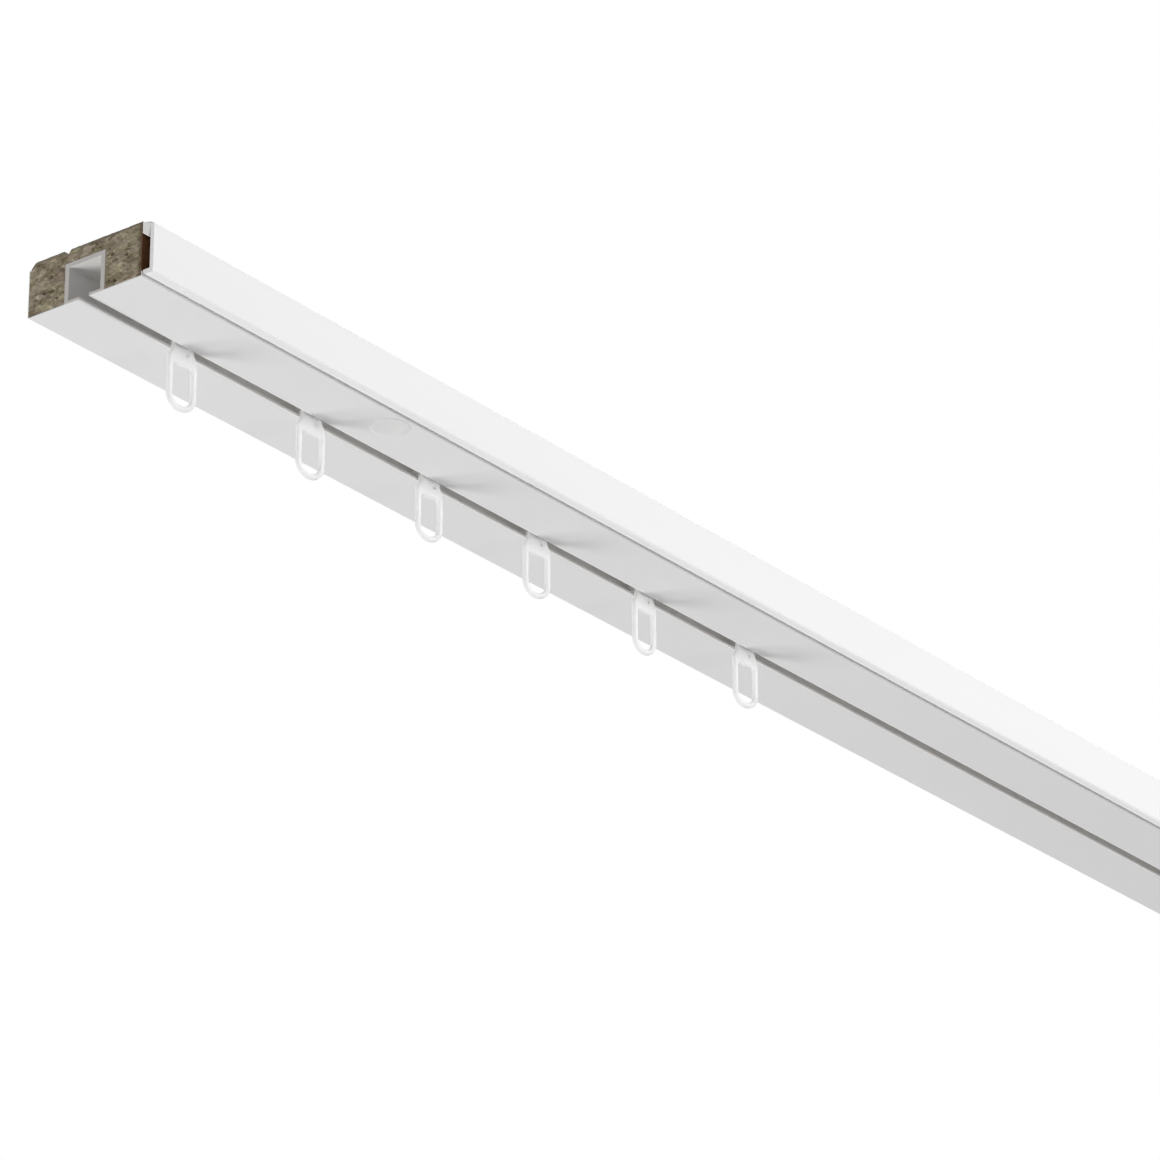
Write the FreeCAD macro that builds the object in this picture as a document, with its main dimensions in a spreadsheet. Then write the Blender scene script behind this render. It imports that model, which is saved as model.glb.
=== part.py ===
import FreeCAD, Part
import os
import Sketcher

# Ceiling curtain track: a foil-wrapped chipboard batten with a plastic channel let into its underside,
# a clip-on fascia along the front, capped screw holes and moulded gliders that hang from the channel's slot.
# X runs along the rail, the fascia faces -Y, Z is up.
# The origin is the middle of the face that meets the ceiling.

doc = FreeCAD.newDocument("curtain_track")
sheet = doc.addObject("Spreadsheet::Sheet", "dims")

sizes = {
    # chipboard batten
    "rail_length": 1000.0,
    "block_width": 50.0,
    "block_height": 20.0,
    "back_bevel": 2.4,
    "edge_round": 0.3,
    "nick_at": 7.9,
    "nick_width": 3.2,
    "nick_depth": 1.6,
    "nick_length": 4.0,
    # white foil
    "foil_gauge": 0.3,
    "foil_upturn": 1.8,
    # channel insert
    "insert_width": 17.8,
    "insert_height": 14.8,
    "insert_wall": 1.9,
    "insert_roof": 1.8,
    "lip_gauge": 0.9,
    "lip_bead": 0.8,
    "slot_width": 4.2,
    "seat_gap": 0.1,
    # fascia
    "fascia_depth": 5.0,
    "fascia_height": 18.2,
    "fascia_wall": 1.5,
    "fascia_return": 2.0,
    "fascia_round": 1.0,
    "return_round": 1.6,
    "hook_down": 0.2,
    "hook_leg": 4.1,
    "hook_reach": 2.6,
    "hook_tip": 2.0,
    "hook_web": 0.8,
    "seam_gap": 0.4,
    # screw holes and their caps
    "hole_inset": 136.0,
    "screw_hole": 4.5,
    "cap_recess": 10.0,
    "recess_depth": 9.0,
    "cap_width": 14.0,
    "cap_proud": 0.6,
    "cap_edge": 0.15,
    "cap_rim": 1.8,
    "cap_floor": 0.5,
    "stem_length": 5.0,
    "stem_wall": 1.2,
    # gliders
    "eye_width": 12.0,
    "eye_drop": 22.7,
    "eye_bar": 2.0,
    "eye_gauge": 2.0,
    "foot_flat": 0.4,
    "bar_bevel": 0.55,
    "window_drop": 6.0,
    "window_round": 1.0,
    "shoulder_width": 8.4,
    "shoulder_gap": 0.2,
    "shoulder_drop": 3.6,
    "neck_width": 8.4,
    "neck_gap": 1.1,
    "neck_drop": 1.4,
    "head_length": 9.0,
    "head_gap": 1.1,
    "head_height": 2.6,
    "head_round": 3.0,
    "run_gap": 0.25,
    "peg_hole": 1.2,
    "peg_hole_drop": 2.0,
    "peg_hole_side": 1.5,
    # distance of each glider from the near end
    "glider_1_at": 48.4,
    "glider_2_at": 114.3,
    "glider_3_at": 177.8,
    "glider_4_at": 238.0,
    "glider_5_at": 300.6,
    "glider_6_at": 361.9,
    # how far each glider has swivelled in the slot, in degrees
    "glider_1_turn": 11.0,
    "glider_2_turn": 11.0,
    "glider_3_turn": 9.0,
    "glider_4_turn": 12.0,
    "glider_5_turn": 4.0,
    "glider_6_turn": 10.0,
}
for row, (alias, value) in enumerate(sizes.items(), 1):
    sheet.set("A%d" % row, alias)
    sheet.set("B%d" % row, str(value))
    sheet.setAlias("B%d" % row, alias)
doc.recompute()

# heights and half widths that several pieces share
half = "dims.block_width / 2"
under = "-dims.block_height"
core_under = "(dims.foil_gauge - dims.block_height)"
core_back = "(dims.block_width / 2 - dims.foil_gauge)"
insert_half = "dims.insert_width / 2"
channel_half = "(dims.insert_width / 2 - dims.insert_wall)"
insert_top = "(%s + dims.insert_height)" % core_under
lip_top = "(%s + dims.lip_gauge)" % core_under
slot_half = "dims.slot_width / 2"
foil_slot_half = "(dims.slot_width / 2 + dims.lip_bead)"
fascia_face = "-(dims.block_width / 2 + dims.fascia_depth)"
fascia_top = "(dims.fascia_height - dims.block_height)"
hole_x = "(dims.rail_length / 2 - dims.hole_inset)"
hole_y = "-(dims.block_width + dims.insert_width) / 4"


def value_of(expression):
    """The number that a formula on the size sheet gives."""
    return float(sheet.evalExpression(expression))


def origin_plane(body, role):
    """One of a body's own origin planes."""
    return next(f for f in body.Origin.OriginFeatures if f.Role == role)


def new_body(label):
    """A body that becomes one sub-part."""
    body = doc.addObject("PartDesign::Body", label)
    body.Label = label
    return body


def new_sketch(body, name, role, offset=None):
    """An empty sketch on an origin plane, moved along the plane's normal by a formula."""
    sketch = body.newObject("Sketcher::SketchObject", name)
    sketch.AttachmentSupport = [(origin_plane(body, role), "")]
    sketch.MapMode = "FlatFace"
    if offset:
        sketch.setExpression("AttachmentOffset.Base.z", offset)
    return sketch


def bind(sketch, kind, axis, geo, pos, formula):
    """Holds one coordinate of a sketch point at a formula's value, whichever side of the axis it is on."""
    value = value_of(formula)
    if abs(value) < 1e-9:
        sketch.addConstraint(Sketcher.Constraint("PointOnObject", geo, pos, axis))
        return
    if value > 0:
        index = sketch.addConstraint(Sketcher.Constraint(kind, -1, 1, geo, pos, value))
        sketch.setExpression("Constraints[%d]" % index, formula)
    else:
        index = sketch.addConstraint(Sketcher.Constraint(kind, geo, pos, -1, 1, -value))
        sketch.setExpression("Constraints[%d]" % index, "-(%s)" % formula)


def add_loop(sketch, corners):
    """A closed outline of straight runs through corners given as pairs of formulas."""
    first = sketch.GeometryCount
    points = [FreeCAD.Vector(value_of(a), value_of(b), 0) for a, b in corners]
    count = len(points)
    for i in range(count):
        sketch.addGeometry(Part.LineSegment(points[i], points[(i + 1) % count]), False)
    for i in range(count):
        following = first + (i + 1) % count
        sketch.addConstraint(Sketcher.Constraint("Coincident", first + i, 2, following, 1))
    for i, (across, up) in enumerate(corners):
        bind(sketch, "DistanceX", -2, first + i, 1, across)
        bind(sketch, "DistanceY", -1, first + i, 1, up)


def add_circle(sketch, across, up, diameter):
    """A circle whose centre and diameter are formulas."""
    centre = FreeCAD.Vector(value_of(across), value_of(up), 0)
    circle = Part.Circle(centre, FreeCAD.Vector(0, 0, 1), value_of(diameter) / 2)
    geo = sketch.addGeometry(circle, False)
    index = sketch.addConstraint(Sketcher.Constraint("Diameter", geo, value_of(diameter)))
    sketch.setExpression("Constraints[%d]" % index, diameter)
    bind(sketch, "DistanceX", -2, geo, 3, across)
    bind(sketch, "DistanceY", -1, geo, 3, up)


def pad(body, name, sketch, length, symmetric=True):
    """A pad of a sketch, to both sides of it or along its normal."""
    feature = body.newObject("PartDesign::Pad", name)
    feature.Profile = sketch
    feature.SideType = "Symmetric" if symmetric else "One side"
    feature.setExpression("Length", length)
    doc.recompute()
    return feature


def pocket(body, name, sketch, depth, reverse=False):
    """A pocket of a sketch, against its normal or, reversed, along it; the cut has to take something away."""
    before = body.Shape.Volume
    feature = body.newObject("PartDesign::Pocket", name)
    feature.Profile = sketch
    feature.Reversed = reverse
    feature.setExpression("Length", depth)
    doc.recompute()
    if body.Shape.Volume >= before - 1e-6:
        raise RuntimeError(name + " cuts nothing")
    return feature


def dress_edges(body, kind, name, base, chosen, size_name, size):
    """A fillet or chamfer on the edges of the base feature that the test picks."""
    edges = ["Edge%d" % i for i, edge in enumerate(base.Shape.Edges, 1) if chosen(edge)]
    feature = body.newObject("PartDesign::" + kind, name)
    feature.Base = (base, edges)
    feature.setExpression(size_name, size)
    doc.recompute()
    return feature


def fillet(body, name, base, chosen, radius):
    """Rounds the edges that the test picks."""
    return dress_edges(body, "Fillet", name, base, chosen, "Radius", radius)


def chamfer(body, name, base, chosen, size):
    """Bevels the edges that the test picks."""
    return dress_edges(body, "Chamfer", name, base, chosen, "Size", size)


def along_rail(across, up):
    """Picks the long edge of an extrusion whose section corner is at these formulas."""
    y, z = value_of(across), value_of(up)

    def chosen(edge):
        middle = edge.CenterOfMass
        straight = edge.Length > value_of("dims.rail_length") / 2
        return straight and abs(middle.y - y) < 1e-4 and abs(middle.z - z) < 1e-4

    return chosen


def rail_section(label, corners):
    """A body that runs the length of the rail with one section, and its pad."""
    body = new_body(label)
    sketch = new_sketch(body, label + "_section", "YZ_Plane")
    add_loop(sketch, corners)
    return body, pad(body, label + "_run", sketch, "dims.rail_length")


def hole_pair(body, name, diameter, depth, offset=None, reverse=False):
    """Two round cuts at the ceiling screws' places, one near each end of the rail."""
    sketch = new_sketch(body, name + "_circles", "XY_Plane", offset)
    for side in ("-", ""):
        add_circle(sketch, side + hole_x, hole_y, diameter)
    return pocket(body, name, sketch, depth, reverse)


def make_core():
    """The chipboard batten: groove for the channel, bevel at the back top edge, screw holes, chipped nick."""
    groove_half = "(dims.insert_width / 2 + dims.seat_gap)"
    groove_top = "(%s + dims.seat_gap)" % insert_top
    body, run = rail_section("chipboard_core", [
        ("-" + half, "0"),
        (core_back + " - dims.back_bevel", "0"),
        (core_back, "-dims.back_bevel"),
        (core_back, core_under),
        (groove_half, core_under),
        (groove_half, groove_top),
        ("-" + groove_half, groove_top),
        ("-" + groove_half, core_under),
        ("-" + half, core_under),
    ])
    fillet(body, "core_back_round", run, along_rail(core_back, core_under), "dims.edge_round")
    fillet(body, "core_front_round", body.Tip, along_rail("-" + half, core_under), "dims.edge_round")
    hole_pair(body, "screw_holes", "dims.screw_hole", "dims.block_height")
    hole_pair(body, "cap_recesses", "dims.cap_recess", "dims.recess_depth", core_under, True)
    nick = new_sketch(body, "nick_outline", "YZ_Plane", "-dims.rail_length / 2")
    add_loop(nick, [
        ("dims.nick_at - dims.nick_width / 2", "0"),
        ("dims.nick_at", "-dims.nick_depth"),
        ("dims.nick_at + dims.nick_width / 2", "0"),
    ])
    pocket(body, "end_nick", nick, "dims.nick_length", True)
    return body


def make_foil_back():
    """Foil from the slot over the underside and up the back edge to the bevel."""
    body, run = rail_section("foil_back", [
        (foil_slot_half, under),
        (half, under),
        (half, "-dims.back_bevel"),
        (core_back, "-dims.back_bevel"),
        (core_back, core_under),
        (foil_slot_half, core_under),
    ])
    fillet(body, "foil_back_inner", run, along_rail(core_back, core_under), "dims.edge_round")
    outer = "dims.edge_round + dims.foil_gauge"
    fillet(body, "foil_back_outer", body.Tip, along_rail(half, under), outer)
    return body


def make_foil_front():
    """Foil from the slot over the underside and a little way up the front, cut out for the caps."""
    front = "-(dims.block_width / 2 + dims.foil_gauge)"
    upturn = "(dims.foil_upturn - dims.block_height)"
    body, run = rail_section("foil_front", [
        ("-" + foil_slot_half, under),
        ("-" + foil_slot_half, core_under),
        ("-" + half, core_under),
        ("-" + half, upturn),
        (front, upturn),
        (front, under),
    ])
    fillet(body, "foil_front_inner", run, along_rail("-" + half, core_under), "dims.edge_round")
    outer = "dims.edge_round + dims.foil_gauge"
    fillet(body, "foil_front_outer", body.Tip, along_rail(front, under), outer)
    hole_pair(body, "foil_holes", "dims.cap_recess", "dims.block_height")
    return body


def make_insert():
    """The plastic channel: two walls, a roof and two lips whose beads stand flush with the foil."""
    ceiling = "(%s - dims.insert_roof)" % insert_top
    section = [
        ("-" + insert_half, core_under),
        ("-" + insert_half, insert_top),
        (insert_half, insert_top),
        (insert_half, core_under),
        (foil_slot_half, core_under),
        (foil_slot_half, under),
        (slot_half, under),
        (slot_half, lip_top),
        (channel_half, lip_top),
        (channel_half, ceiling),
        ("-" + channel_half, ceiling),
        ("-" + channel_half, lip_top),
        ("-" + slot_half, lip_top),
        ("-" + slot_half, under),
        ("-" + foil_slot_half, under),
        ("-" + foil_slot_half, core_under),
    ]
    return rail_section("channel_insert", section)[0]


def make_fascia():
    """The fascia: front wall, barbed hook seated on the batten's front, and a return along the seam."""
    wall_back = "(%s + dims.fascia_wall)" % fascia_face
    hook_top = "-dims.hook_down"
    leg_foot = "-(dims.hook_down + dims.hook_leg)"
    tip_front = "-(dims.block_width / 2 + dims.hook_reach)"
    tip_foot = "-(dims.hook_down + dims.hook_leg + dims.hook_tip)"
    web_under = "(%s - dims.hook_web)" % fascia_top
    return_top = "(dims.fascia_return - dims.block_height)"
    return_end = "-(dims.block_width / 2 + dims.foil_gauge + dims.seam_gap)"
    body, run = rail_section("fascia", [
        (fascia_face, under),
        (fascia_face, fascia_top),
        ("-" + half, hook_top),
        ("-" + half, leg_foot),
        (tip_front, tip_foot),
        (wall_back, web_under),
        (wall_back, return_top),
        (return_end, return_top),
        (return_end, under),
    ])
    fillet(body, "fascia_top_round", run, along_rail(fascia_face, fascia_top), "dims.fascia_round")
    fillet(body, "fascia_low_round", body.Tip, along_rail(fascia_face, under), "dims.fascia_round")
    seam_round = "min(dims.return_round; dims.fascia_return * 0.8)"
    fillet(body, "fascia_seam_round", body.Tip, along_rail(return_end, under), seam_round)
    return body


def make_cap(label, side):
    """A round cap: a low head with a sloping rim under the foil and a hollow stem up into the recess."""
    head = "dims.cap_width / 2"
    crown = "(dims.cap_width / 2 - dims.cap_rim)"
    stem = "(dims.cap_recess / 2 - dims.seat_gap)"
    hollow = "(%s - dims.stem_wall)" % stem
    body = new_body(label)
    sketch = new_sketch(body, label + "_section", "XZ_Plane")
    add_loop(sketch, [
        ("0", "-dims.cap_proud"),
        (crown, "-dims.cap_proud"),
        (head, "-dims.cap_edge"),
        (head, "0"),
        (stem, "0"),
        (stem, "dims.stem_length"),
        (hollow, "dims.stem_length"),
        (hollow, "dims.cap_floor"),
        ("0", "dims.cap_floor"),
    ])
    turned = body.newObject("PartDesign::Revolution", label + "_turned")
    turned.Profile = sketch
    turned.ReferenceAxis = (sketch, ["V_Axis"])
    turned.Angle = 360
    doc.recompute()
    body.setExpression("Placement.Base.x", side + hole_x)
    body.setExpression("Placement.Base.y", hole_y)
    body.setExpression("Placement.Base.z", under)
    return body


def make_glider(label):
    """A moulded glider: head on the lips, neck through the slot, sloping shoulders and a long rounded eye."""
    eye_half = "dims.eye_width / 2"
    shoulder_half = "dims.shoulder_width / 2"
    shoulder_top = "-(dims.block_height + dims.shoulder_gap)"
    shoulder_foot = "-(dims.block_height + dims.shoulder_drop)"
    eye_foot = "-(dims.block_height + dims.eye_drop)"
    window_half = "(dims.eye_width / 2 - dims.eye_bar)"
    window_top = "-(dims.block_height + dims.window_drop)"
    window_foot = "-(dims.block_height + dims.eye_drop - dims.eye_bar)"
    body = new_body(label)

    plate = new_sketch(body, label + "_eye_outline", "XZ_Plane")
    add_loop(plate, [
        ("-" + shoulder_half, shoulder_top),
        ("-" + eye_half, shoulder_foot),
        ("-" + eye_half, eye_foot),
        (eye_half, eye_foot),
        (eye_half, shoulder_foot),
        (shoulder_half, shoulder_top),
    ])
    add_loop(plate, [
        ("-" + window_half, window_top),
        ("-" + window_half, window_foot),
        (window_half, window_foot),
        (window_half, window_top),
    ])
    add_circle(plate, "dims.peg_hole_side", "-(dims.block_height + dims.peg_hole_drop)", "dims.peg_hole")
    eye = pad(body, label + "_eye", plate, "dims.eye_gauge")

    def corner(across, up):
        x, z = abs(value_of(across)), value_of(up)

        def chosen(edge):
            middle = edge.CenterOfMass
            crosswise = edge.BoundBox.YLength > value_of("dims.eye_gauge") / 2
            return crosswise and abs(abs(middle.x) - x) < 1e-4 and abs(middle.z - z) < 1e-4

        return chosen

    foot_round = "(dims.eye_width - dims.foot_flat) / 2"
    fillet(body, label + "_eye_foot", eye, corner(eye_half, eye_foot), foot_round)
    inner_round = foot_round + " - dims.eye_bar"
    fillet(body, label + "_window_foot", body.Tip, corner(window_half, window_foot), inner_round)
    fillet(body, label + "_window_top", body.Tip, corner(window_half, window_top), "dims.window_round")

    face = value_of("dims.eye_gauge / 2")
    hole_size = value_of("dims.peg_hole")

    def on_face_outline(edge):
        box = edge.BoundBox
        flat = box.YLength < 1e-4 and abs(abs(box.YMax) - face) < 1e-4
        ring = abs(box.XLength - hole_size) < 1e-3 and abs(box.ZLength - hole_size) < 1e-3
        return flat and not ring

    chamfer(body, label + "_bar_bevel", body.Tip, on_face_outline, "dims.bar_bevel")

    neck = new_sketch(body, label + "_neck_outline", "XZ_Plane")
    neck_half = "dims.neck_width / 2"
    neck_foot = "-(dims.block_height + dims.neck_drop)"
    head_foot = "(%s + dims.run_gap)" % lip_top
    add_loop(neck, [
        ("-" + neck_half, head_foot),
        ("-" + neck_half, neck_foot),
        (neck_half, neck_foot),
        (neck_half, head_foot),
    ])
    pad(body, label + "_neck", neck, "dims.slot_width - 2 * dims.neck_gap")

    head = new_sketch(body, label + "_head_outline", "XY_Plane", head_foot)
    head_long = "dims.head_length / 2"
    head_wide = "(%s - dims.head_gap)" % channel_half
    add_loop(head, [
        ("-" + head_long, "-" + head_wide),
        (head_long, "-" + head_wide),
        (head_long, head_wide),
        ("-" + head_long, head_wide),
    ])
    wings = pad(body, label + "_head", head, "dims.head_height", False)
    reach = value_of(head_long)

    def head_corner(edge):
        box = edge.BoundBox
        return box.ZLength > value_of("dims.head_height") - 1e-3 and abs(abs(box.XMax) - reach) < 1e-4

    fillet(body, label + "_head_round", wings, head_corner, "dims.head_round")
    body.Placement.Rotation = FreeCAD.Rotation(FreeCAD.Vector(0, 0, 1), -value_of("dims.%s_turn" % label))
    body.setExpression("Placement.Rotation.Angle", "-dims.%s_turn" % label)
    body.setExpression("Placement.Base.x", "dims.%s_at - dims.rail_length / 2" % label)
    return body


bodies = [make_core(), make_foil_back(), make_foil_front(), make_insert(), make_fascia()]
bodies.append(make_cap("cover_cap_near", "-"))
bodies.append(make_cap("cover_cap_far", ""))
for number in range(1, 7):
    bodies.append(make_glider("glider_%d" % number))
doc.recompute()

for item in doc.Objects:
    if "Invalid" in item.State or "Error" in item.State:
        raise RuntimeError("%s failed: %s" % (item.Name, item.State))
for body in bodies:
    if body.Shape.isNull() or not body.Shape.isValid() or len(body.Shape.Solids) != 1:
        raise RuntimeError(body.Label + " is not one valid solid")

os.makedirs("parts", exist_ok=True)
for body in bodies:
    body.Shape.exportStep("parts/%s.step" % body.Label)
    print("%-16s %9.1f mm3" % (body.Label, body.Shape.Volume))
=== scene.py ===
import bmesh
import bpy
from math import cos, radians, sin
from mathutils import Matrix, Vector, noise


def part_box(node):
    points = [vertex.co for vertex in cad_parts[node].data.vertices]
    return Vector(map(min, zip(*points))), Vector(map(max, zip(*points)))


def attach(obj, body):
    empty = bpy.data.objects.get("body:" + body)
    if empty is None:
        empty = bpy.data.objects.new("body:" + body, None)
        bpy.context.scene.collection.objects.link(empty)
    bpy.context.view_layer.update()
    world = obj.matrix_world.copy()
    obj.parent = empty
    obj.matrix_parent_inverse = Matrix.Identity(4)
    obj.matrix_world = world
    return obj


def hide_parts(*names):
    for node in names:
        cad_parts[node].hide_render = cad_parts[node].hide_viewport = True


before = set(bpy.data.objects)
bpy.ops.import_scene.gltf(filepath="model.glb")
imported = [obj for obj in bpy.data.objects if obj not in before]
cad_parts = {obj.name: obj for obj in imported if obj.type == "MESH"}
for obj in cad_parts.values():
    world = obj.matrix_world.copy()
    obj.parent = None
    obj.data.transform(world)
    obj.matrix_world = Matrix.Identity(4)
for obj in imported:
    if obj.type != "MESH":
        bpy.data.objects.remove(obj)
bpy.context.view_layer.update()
mm = 0.001


# a socket that can stand in sums, and the sheet of nodes that it belongs to
class Sock:
    def __init__(self, sheet, socket):
        self.sheet = sheet
        self.socket = socket

    def maths(self, operation, first, second):
        return self.sheet.node("ShaderNodeMath", {"operation": operation}, {0: first, 1: second})

    def other(self, output):      # another output of the same node
        return Sock(self.sheet, self.socket.node.outputs[output])

    def __add__(self, other):
        return self.maths("ADD", self, other)

    def __radd__(self, other):
        return self.maths("ADD", other, self)

    def __sub__(self, other):
        return self.maths("SUBTRACT", self, other)

    def __rsub__(self, other):
        return self.maths("SUBTRACT", other, self)

    def __mul__(self, other):
        return self.maths("MULTIPLY", self, other)

    def __rmul__(self, other):
        return self.maths("MULTIPLY", other, self)


class Sheet:
    def __init__(self, owner):
        owner.use_nodes = True
        self.owner = owner
        self.nodes = owner.node_tree.nodes
        self.links = owner.node_tree.links
        self.nodes.clear()

    def node(self, kind, settings=None, inputs=None, output=0):
        made = self.nodes.new(kind)
        for key, value in (settings or {}).items():
            if key == "stops":
                self.setStops(made.color_ramp.elements, value)
            else:
                setattr(made, key, value)
        for key, value in (inputs or {}).items():
            if isinstance(value, Sock):
                self.links.new(value.socket, made.inputs[key])
            else:
                made.inputs[key].default_value = value
        return Sock(self, made.outputs[output]) if made.outputs else None

    def setStops(self, elements, stops):
        while len(elements) < len(stops):
            elements.new(1.0)
        for element, (place, colour) in zip(elements, stops):
            element.position = place
            element.color = (*colour, 1.0)

    def point(self):
        return self.node("ShaderNodeTexCoord", output="Object")

    def stretched(self, point, scale):
        return self.node("ShaderNodeMapping", {}, {"Vector": point, "Scale": scale})

    def cloud(self, point, scale, detail=3.0, rough=0.55, output=0):
        return self.node("ShaderNodeTexNoise", {}, {
            "Vector": point, "Scale": scale, "Detail": detail, "Roughness": rough}, output)

    def pieces(self, point, size, blend):      # a random tone for each piece of that size in mm
        laid = self.stretched(point, [1 / (side * mm) for side in size])
        pick = self.node("ShaderNodeTexVoronoi", {"feature": "SMOOTH_F1"}, {
            "Vector": laid, "Scale": 1.0, "Smoothness": blend}, 1)
        return self.node("ShaderNodeSeparateColor", {}, {"Color": pick})

    def smooth(self, value, low, high):
        return self.node("ShaderNodeMapRange", {"interpolation_type": "SMOOTHSTEP"}, {
            "Value": value, "From Min": low, "From Max": high})

    def ramp(self, value, stops):
        return self.node("ShaderNodeValToRGB", {"stops": stops}, {"Fac": value})

    def mix(self, factor, first, second):      # two colours
        return self.node("ShaderNodeMix", {"data_type": "RGBA"}, {0: factor, 6: first, 7: second}, 2)

    def bump(self, height, depth):      # depth in mm
        return self.node("ShaderNodeBump", {}, {"Height": height, "Distance": depth * mm})

    def surface(self, sockets):
        shader = self.node("ShaderNodeBsdfPrincipled", {}, sockets)
        self.node("ShaderNodeOutputMaterial", {}, {"Surface": shader})
        return self.owner


def newFinish(name):
    return Sheet(bpy.data.materials.new(name))


def tint(white, warm, share=(1.0, 1.0, 1.0)):      # a white, a little warm, with a share of each channel
    return (white * share[0] + warm, white * share[1], white * share[2] - warm, 1.0)


# chipboard: flakes and chips of two woods, bark and pores, painted shade over the front beside and behind
# the fascia, and a burnt line along the top
chipLook = {
    "flake": (6.0, 4.8, 2.0), "flakeBlend": 0.25,      # mm along the rail, across it and through the board
    "chip": (3.0, 2.3, 1.1), "chipBlend": 0.15,
    "drift": (1.6, 1.6, 0.9),                # mm that flakes and chips are bent
    "driftScale": 300.0, "poreScale": 430.0,      # per metre
    "fibreScale": (420, 600, 1700), "barkScale": (150, 200, 300),
    "flakeShare": 0.42, "chipShare": 0.50, "fibreShare": 0.60, "darker": 0.235,
    "olive": [(0.0, (0.090, 0.074, 0.034)), (0.30, (0.205, 0.176, 0.106)), (0.55, (0.290, 0.254, 0.164)),
              (0.80, (0.375, 0.330, 0.218)), (1.0, (0.620, 0.550, 0.380))],
    "tan": [(0.0, (0.115, 0.080, 0.048)), (0.30, (0.235, 0.186, 0.132)), (0.55, (0.318, 0.262, 0.196)),
            (0.80, (0.400, 0.338, 0.262)), (1.0, (0.600, 0.525, 0.415))],
    "woodBand": (0.35, 0.65), "barkBand": (0.62, 0.70), "poreBand": (0.64, 0.72),
    "bark": (0.092, 0.050, 0.028, 1.0), "barkShare": 0.70,
    "pore": (0.060, 0.042, 0.020, 1.0), "poreShare": 0.75,
    # painted shade: dark brown over the board's front, beside the hollow behind the fascia
    "frontShade": (0.085, 0.045, 0.026, 1.0),
    "burn": (0.165, 0.142, 0.125, 1.0), "burnShare": 0.60,
    # painted shade: the board's face inside the hollow behind the fascia
    "hollowShade": (0.120, 0.048, 0.020, 1.0),
    "frontShadeBand": (2.7, 0.1),                 # mm in from the batten's front, from no painted shade to full painted shade
    "hollowShadeBand": (0.25, 0.03),                # the same, for the painted shade on the face behind the fascia
    "burnBand": (1.4, 0.3),                  # mm below the batten's top, from clean to burnt
    "relief": 0.16,                          # mm
}
battenLow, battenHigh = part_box("chipboard_core")


def chipboardFinish(look):
    s = newFinish("chipboard")
    at = s.point()
    drift = s.cloud(at, look["driftScale"], 2.0, 0.5, output=1)
    bent = s.node("ShaderNodeVectorMath", {"operation": "MULTIPLY_ADD"}, {
        0: drift, 1: [reach * mm for reach in look["drift"]], 2: at})
    flake = s.pieces(bent, look["flake"], look["flakeBlend"])
    chip = s.pieces(bent, look["chip"], look["chipBlend"])
    fibre = s.cloud(s.stretched(at, look["fibreScale"]), 1.0, 4.0, 0.6)
    pores = s.smooth(s.cloud(at, look["poreScale"], 2.0, 0.5), *look["poreBand"])
    pressed = flake * look["flakeShare"] + chip * look["chipShare"]
    value = pressed + fibre * look["fibreShare"] - look["darker"]
    wood = s.smooth(flake.other("Green") * 0.7 + chip.other("Green") * 0.3, *look["woodBand"])
    colour = s.mix(wood, s.ramp(value, look["olive"]), s.ramp(value, look["tan"]))
    bark = s.smooth(s.cloud(s.stretched(at, look["barkScale"]), 1.0, 2.5, 0.55), *look["barkBand"])
    colour = s.mix(bark * look["barkShare"], colour, look["bark"])
    colour = s.mix(pores * look["poreShare"], colour, look["pore"])
    across = s.node("ShaderNodeSeparateXYZ", {}, {"Vector": at}, "Y")
    frontShaded = s.smooth(across, *[battenLow.y + inset * mm for inset in look["frontShadeBand"]])
    hollowShaded = s.smooth(across, *[battenLow.y + inset * mm for inset in look["hollowShadeBand"]])
    burnt = s.smooth(across.other("Z"), *[battenHigh.z - drop * mm for drop in look["burnBand"]])
    # painted shade over the board's front, beside and behind the fascia
    colour = s.mix(frontShaded * (0.55 + 0.50 * fibre), colour, look["frontShade"])
    colour = s.mix(burnt * look["burnShare"], colour, look["burn"])
    # painted shade on the face inside the hollow behind the fascia
    colour = s.mix(hollowShaded, colour, look["hollowShade"])
    return s.surface({
        "Base Color": colour, "Roughness": 0.72 + 0.2 * fibre, "Specular IOR Level": 0.2,
        "Normal": s.bump(chip * 0.4 + fibre * 0.4 - pores * 0.6, look["relief"])})


# white foil over the board: the flakes under it show faintly
foilLook = {
    "white": 0.80, "shade": 0.775, "warm": 0.003, "rough": 0.36,
    "wideScale": 16.0, "swellScale": (160, 260, 260), "peelScale": 1500.0,
    "relief": 0.03,                          # mm
}


def foilFinish(look):
    s = newFinish("white_foil")
    at = s.point()
    wide = s.cloud(at, look["wideScale"], 3.0)
    swell = s.cloud(s.stretched(at, look["swellScale"]), 1.0, 2.0, 0.5)
    peel = s.cloud(at, look["peelScale"], 2.0, 0.6)
    dull = (look["shade"], look["shade"], look["shade"] + look["warm"], 1.0)
    return s.surface({
        "Base Color": s.mix(wide * 0.6 + peel * 0.4, tint(look["white"], look["warm"]), dull),
        "Roughness": look["rough"] + 0.14 * wide + 0.06 * peel,
        "Normal": s.bump(swell * 0.8 + peel * 0.2, look["relief"])})
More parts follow.
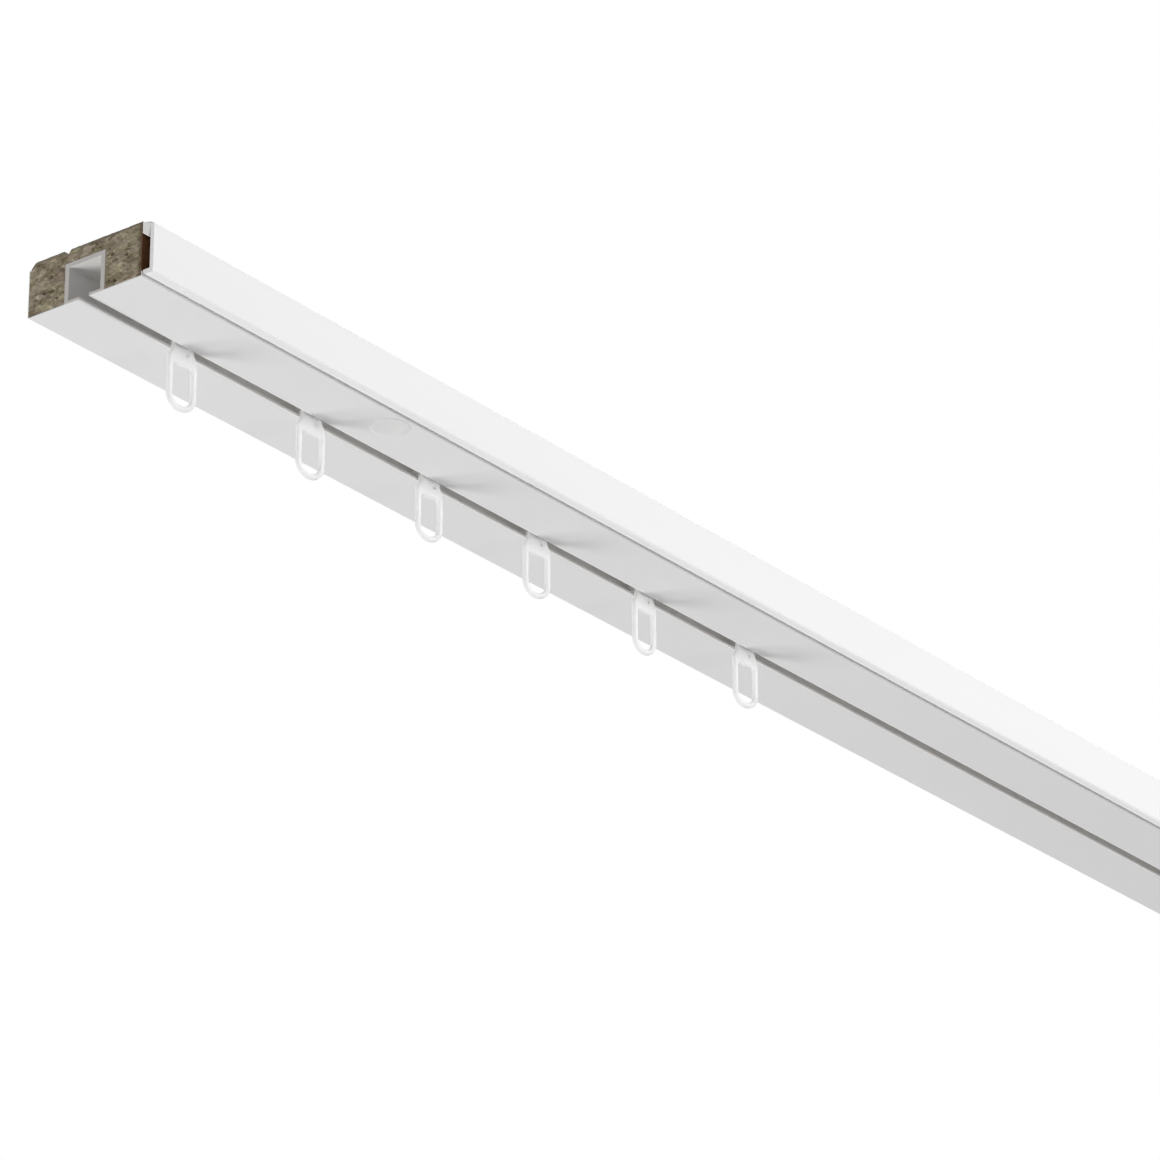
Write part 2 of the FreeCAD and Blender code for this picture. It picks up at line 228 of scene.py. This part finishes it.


# extruded plastic: fine draw lines run along the rail, the sawn ends are dull, and painted shade darkens the
# channel toward them
channelLook = {
    "name": "channel_plastic", "white": 0.90, "warm": 0.008, "rough": 0.36, "coat": 0.0,
    "lineDepth": 0.012,                      # mm
    # the last value is the share of painted shade toward the sawn ends
    "sawn": (0.58, 0.555, 0.53, 1.0), "endShadeShare": 0.48,
}
fasciaLook = {
    "name": "fascia_plastic", "white": 0.87, "warm": 0.0, "rough": 0.18, "coat": 1.0,
    "lineDepth": 0.0015,                     # mm
    "sawn": (0.88, 0.87, 0.86, 1.0), "endShadeShare": 0.0,
}
extrudedLook = {
    "lineScale": (2.5, 1300, 1300), "wideScale": (9, 60, 60), "speckScale": 2400.0,
    "dull": (0.965, 0.965, 0.96),            # share of the white
    # painted shade: the dim inside of the channel near its ends
    "endShade": (0.50, 0.49, 0.475, 1.0),
    "endShadeBand": (50.0, 3.0),                 # mm from a sawn end, from no painted shade to full painted shade
    "sawnBand": (0.25, 0.02),                # mm from a sawn end, from drawn to sawn
    "coatRough": 0.12,
}
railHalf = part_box("channel_insert")[1].x


def extrudedFinish(own, look):
    s = newFinish(own["name"])
    at = s.point()
    lines = s.cloud(s.stretched(at, look["lineScale"]), 1.0, 4.0, 0.65)
    wide = s.cloud(s.stretched(at, look["wideScale"]), 1.0, 3.0)
    speck = s.cloud(at, look["speckScale"], 2.0, 0.6)
    along = s.node("ShaderNodeSeparateXYZ", {}, {"Vector": at}, "X")
    away = along.maths("ABSOLUTE", along, 0.0)
    sawn = s.smooth(away, *[railHalf - inset * mm for inset in look["sawnBand"]])
    # painted shade toward the sawn ends, darkening the channel
    endShaded = s.smooth(away, *[railHalf - inset * mm for inset in look["endShadeBand"]]) * own["endShadeShare"]
    clean = s.mix(wide, tint(own["white"], own["warm"]), tint(own["white"], own["warm"], look["dull"]))
    return s.surface({
        "Base Color": s.mix(sawn, s.mix(endShaded, clean, look["endShade"]), own["sawn"]),
        "Roughness": own["rough"] + 0.10 * wide + 0.03 * lines,
        "Coat Weight": own["coat"], "Coat Roughness": look["coatRough"],
        "Normal": s.bump(lines * 0.8 + speck * 0.2, own["lineDepth"])})


# moulded plastic: cloudy flow marks and a faint satin grain, milky for the gliders
capLook = {"name": "cap_plastic", "white": 0.80, "warm": 0.002, "rough": 0.34, "milk": 0.0}
gliderLook = {"name": "glider_plastic", "white": 0.79, "warm": 0.0, "rough": 0.55, "milk": 1.0}
mouldedLook = {
    "flowScale": (300, 300, 120), "grainScale": 3000.0,
    "dull": (0.95, 0.955, 0.95),             # share of the white
    "milkDepth": 5.0, "relief": 0.012,       # mm
}


def mouldedFinish(own, look):
    s = newFinish(own["name"])
    at = s.point()
    flow = s.cloud(s.stretched(at, look["flowScale"]), 1.0, 3.0, 0.5)
    grain = s.cloud(at, look["grainScale"], 2.0, 0.6)
    light = tint(own["white"], own["warm"])
    dull = tint(own["white"], own["warm"], look["dull"])
    return s.surface({
        "Base Color": s.mix(flow * 0.7 + grain * 0.3, light, dull),
        "Roughness": own["rough"] + 0.12 * flow + 0.06 * grain,
        "Subsurface Weight": own["milk"], "Subsurface Radius": (1.0, 1.0, 1.0),
        "Subsurface Scale": look["milkDepth"] * mm,
        "Normal": s.bump(flow * 0.5 + grain * 0.5, look["relief"])})


chipboard = chipboardFinish(chipLook)
whiteFoil = foilFinish(foilLook)
channelPlastic = extrudedFinish(channelLook, extrudedLook)
fasciaPlastic = extrudedFinish(fasciaLook, extrudedLook)
capPlastic = mouldedFinish(capLook, mouldedLook)
gliderPlastic = mouldedFinish(gliderLook, mouldedLook)
print("finishes:", len(bpy.data.materials))


# a CAD node's mesh with its loose triangles merged back to whole faces
def cadCopy(node):
    bm = bmesh.new()
    bm.from_mesh(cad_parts[node].data)
    bmesh.ops.remove_doubles(bm, verts=bm.verts, dist=0.002 * mm)
    bmesh.ops.dissolve_limit(bm, angle_limit=radians(0.3), verts=bm.verts, edges=bm.edges)
    return bm


def roundEdges(bm, edges, offset, segments):      # offset in mm
    bmesh.ops.bevel(bm, geom=edges, offset=offset * mm, offset_type="OFFSET", segments=segments, profile=0.5,
                    affect="EDGES", clamp_overlap=True, material=-1)


def soften(bm, shape):
    sharp = [e for e in bm.edges if e.is_manifold and e.calc_face_angle() > radians(shape["sharp"])]
    roundEdges(bm, sharp, shape["ease"], shape["segments"])


def standIn(bm, name, node, body, finish, smooth=True, crease=40):
    mesh = bpy.data.meshes.new(name)
    bm.to_mesh(mesh)
    bm.free()
    for face in mesh.polygons:
        face.use_smooth = smooth
    mesh.materials.append(finish)
    piece = bpy.data.objects.new(name, mesh)
    bpy.context.scene.collection.objects.link(piece)
    if smooth:
        mesh.set_sharp_from_angle(angle=radians(crease))
        even = piece.modifiers.new("even", "WEIGHTED_NORMAL")
        even.keep_sharp = True
    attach(piece, body)
    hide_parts(node)
    return piece


# the chipboard batten, with torn flakes and pits on both sawn ends
battenShape = {
    "grid": 0.40,                            # mm between cuts across an end
    "flake": (1.9, 0.8),                     # mm across and through the board
    "step": 0.12, "fuzz": 0.07,              # mm
    "seed": 5,                               # the same tears on each run
    "wander": 0.35,                          # how ragged flakes and pits are
    "corner": 1.1, "cornerSegments": 4,      # mm of rounding on the bevelled back edge
    "pits": [                                # mm across, below the top, radius, depth
        (14.4, -12.7, 1.1, 1.3), (14.8, -7.4, 0.9, 0.8), (-12.0, -7.6, 0.8, 0.9), (-13.8, -10.0, 0.7, 0.7),
        (-18.5, -9.5, 0.9, 0.6), (-13.4, -17.8, 0.9, 0.8), (12.0, -16.0, 0.8, 0.6), (21.3, -13.9, 0.8, 0.5),
        (-5.0, -1.6, 0.7, 0.6), (-19.0, -15.4, 0.7, 0.5)],
}


def endCuts(bm, faces, axis, low, high):
    step = battenShape["grid"] * mm
    place = low + step
    while place < high:
        parts = dict.fromkeys(faces)      # in a fixed order
        for face in faces:
            parts.update(dict.fromkeys(face.edges))
            parts.update(dict.fromkeys(face.verts))
        cut = bmesh.ops.bisect_plane(bm, geom=list(parts), dist=0.001 * mm,
                                     plane_co=axis * place, plane_no=axis)
        faces = [g for g in cut["geom"] if isinstance(g, bmesh.types.BMFace)]
        place += step
    return faces


def tornDepth(across, up, side):      # all in mm, side is -1 at the near end
    wide, thick = battenShape["flake"]
    spot = Vector((across / wide, up / thick, 7.0 * side))
    spot += battenShape["wander"] * noise.noise_vector(spot * 0.8)
    middle = noise.voronoi(spot)[1][0]
    depth = battenShape["step"] * noise.cell(middle * 31.7)
    depth += battenShape["fuzz"] * (0.5 + 0.5 * noise.noise(Vector((across * 1.7, up * 2.6, side))))
    for pitAcross, pitUp, radius, deep in battenShape["pits"]:
        away = Vector((across - pitAcross * -side, up - pitUp)).length / radius
        away += battenShape["wander"] * noise.noise(Vector((across, up, pitUp)))
        depth = max(depth, deep * (1.0 - away * away))
    return max(depth, 0.0)


def makeBatten():
    noise.seed_set(battenShape["seed"])
    bm = cadCopy("chipboard_core")
    long = 0.9 * (battenHigh.x - battenLow.x)
    corner = [e for e in bm.edges if e.is_manifold and e.calc_length() > long
              and radians(40) < e.calc_face_angle() < radians(50)]
    roundEdges(bm, corner, battenShape["corner"], battenShape["cornerSegments"])
    for side, endX in ((-1, battenLow.x), (1, battenHigh.x)):
        ends = [f for f in bm.faces
                if abs(f.normal.x) > 0.99 and abs(f.calc_center_median().x - endX) < 0.01 * mm]
        ends = endCuts(bm, ends, Vector((0, 1, 0)), battenLow.y, battenHigh.y)
        ends = endCuts(bm, ends, Vector((0, 0, 1)), battenLow.z, battenHigh.z)
        for v in {v for f in ends for v in f.verts}:
            v.co.x -= side * tornDepth(v.co.y / mm, v.co.z / mm, side) * mm
    return standIn(bm, "chipboardBatten", "chipboard_core", "track", chipboard, smooth=False)


batten = makeBatten()
print("batten:", len(batten.data.polygons), "faces")

# foil: the solids as they are
for node in ("foil_back", "foil_front"):
    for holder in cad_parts[node].material_slots:
        holder.material = whiteFoil

# channel and fascia: extruded edges eased, by mm and degrees
channelShape = {"ease": 0.18, "segments": 2, "sharp": 30}
fasciaShape = {"ease": 0.15, "segments": 2, "sharp": 30}


def makeExtrusion(node, name, shape, finish):
    bm = cadCopy(node)
    soften(bm, shape)
    return standIn(bm, name, node, "track", finish)


channel = makeExtrusion("channel_insert", "channelInsert", channelShape, channelPlastic)
fascia = makeExtrusion("fascia", "clipFascia", fasciaShape, fasciaPlastic)
print("extrusions:", len(channel.data.polygons), len(fascia.data.polygons), "faces")

# screw caps: rounded rim, by mm and degrees
capShape = {"ease": 0.25, "segments": 3, "sharp": 30, "crease": 10}
for node, name in (("cover_cap_near", "screwCapNear"), ("cover_cap_far", "screwCapFar")):
    bm = cadCopy(node)
    soften(bm, capShape)
    cap = standIn(bm, name, node, "track", capPlastic, crease=capShape["crease"])
print("caps: two of", len(cap.data.polygons), "faces")

# gliders: moulded bars rounded off, by mm and degrees
gliderShape = {"ease": 0.28, "segments": 3, "sharp": 25, "count": 6}
for number in range(1, gliderShape["count"] + 1):
    node = "glider_%d" % number
    bm = cadCopy(node)
    soften(bm, gliderShape)
    glider = standIn(bm, "clickGlider%d" % number, node, node, gliderPlastic)
print("gliders:", gliderShape["count"], "of", len(glider.data.polygons), "faces")


# camera, at the photograph's place
cameraView = {
    "spot": (-1.7744, -1.2020, -0.9189),     # m
    "heading": 38.02, "pitch": 24.57,        # degrees
    "lens": 186.3, "sensor": 36.0,           # mm
    "near": 0.05, "far": 100.0,              # m
}


def makeCamera():
    data = bpy.data.cameras.new("view")
    data.sensor_width = cameraView["sensor"]
    data.lens = cameraView["lens"]
    data.clip_start = cameraView["near"]
    data.clip_end = cameraView["far"]
    camera = bpy.data.objects.new("view", data)
    bpy.context.scene.collection.objects.link(camera)
    heading, pitch = radians(cameraView["heading"]), radians(cameraView["pitch"])
    ahead = Vector((cos(pitch) * cos(heading), cos(pitch) * sin(heading), sin(pitch)))
    camera.location = cameraView["spot"]
    camera.rotation_mode = "QUATERNION"
    camera.rotation_quaternion = ahead.to_track_quat("-Z", "Y")
    bpy.context.scene.camera = camera


# soft studio light: the key comes from below, past the near end and the back
studio = {
    "key": {"from": (-1.57, 1.30, -1.63), "to": (-0.30, 0.0, -0.02), "size": 1.30, "power": 37.0},
    "front": {"from": (0.30, -2.60, 0.08), "to": (0.05, 0.0, -0.02), "size": 1.5, "power": 51.5},
    "above": {"from": (0.20, 1.30, 2.10), "to": (0.10, 0.0, -0.02), "size": 2.0, "power": 24.0},
}
roomLight = 0.35
lightTurns = 12                              # diffuse bounces, because the slot is lit through the channel
floorLook = {
    "drop": 2.5, "radius": 14.0,             # m, from the ceiling face and across
    "segments": 96, "tone": 0.76, "glow": 0.3,
}


def makeLamp(name, look):
    data = bpy.data.lights.new(name, "AREA")
    data.shape = "DISK"
    data.size = look["size"]
    data.energy = look["power"]
    lamp = bpy.data.objects.new(name, data)
    bpy.context.scene.collection.objects.link(lamp)
    lamp.location = look["from"]
    lamp.rotation_mode = "QUATERNION"
    lamp.rotation_quaternion = (Vector(look["to"]) - Vector(look["from"])).to_track_quat("-Z", "Y")


def sightRays(s):      # what the camera sees, and what it sees by a reflection or through a clear piece
    ray = s.node("ShaderNodeLightPath", output="Is Camera Ray")
    return ray, ray.maths("MAXIMUM", ray.other("Is Glossy Ray"), ray.other("Is Transmission Ray"))


def makeRoom():
    world = bpy.data.worlds.new("room")
    bpy.context.scene.world = world
    s = Sheet(world)
    ray, shine = sightRays(s)
    strength = roomLight + (1.0 - roomLight) * ray.maths("MAXIMUM", ray, shine)
    light = s.node("ShaderNodeBackground", {}, {"Color": (1, 1, 1, 1), "Strength": strength})
    s.node("ShaderNodeOutputWorld", {}, {"Surface": light})


def makeFloor():
    bm = bmesh.new()
    bmesh.ops.create_circle(bm, cap_ends=True, segments=floorLook["segments"], radius=floorLook["radius"])
    bmesh.ops.translate(bm, verts=bm.verts, vec=(0, 0, -floorLook["drop"]))
    mesh = bpy.data.meshes.new("floor")
    bm.to_mesh(mesh)
    bm.free()
    floor = bpy.data.objects.new("floor", mesh)
    bpy.context.scene.collection.objects.link(floor)
    s = newFinish("pale_floor")
    pale = s.node("ShaderNodeBsdfDiffuse", {}, {"Color": tint(floorLook["tone"], 0.0)})
    white = s.node("ShaderNodeEmission", {}, {"Color": (1, 1, 1, 1), "Strength": 1.0})
    clear = s.node("ShaderNodeBsdfTransparent")
    ray, shine = sightRays(s)
    lit = ray.maths("MAXIMUM", floorLook["glow"] * ray, shine)
    over = s.node("ShaderNodeMixShader", {}, {0: lit, 1: pale, 2: white})
    under = s.node("ShaderNodeNewGeometry", output="Backfacing")
    both = s.node("ShaderNodeMixShader", {}, {0: under, 1: over, 2: clear})
    s.node("ShaderNodeOutputMaterial", {}, {"Surface": both})
    mesh.materials.append(s.owner)


makeCamera()
for name, look in studio.items():
    makeLamp(name, look)
makeRoom()
makeFloor()
bpy.context.scene.view_settings.view_transform = "Standard"
bpy.context.scene.cycles.diffuse_bounces = lightTurns
print("studio:", len(studio), "lamps")
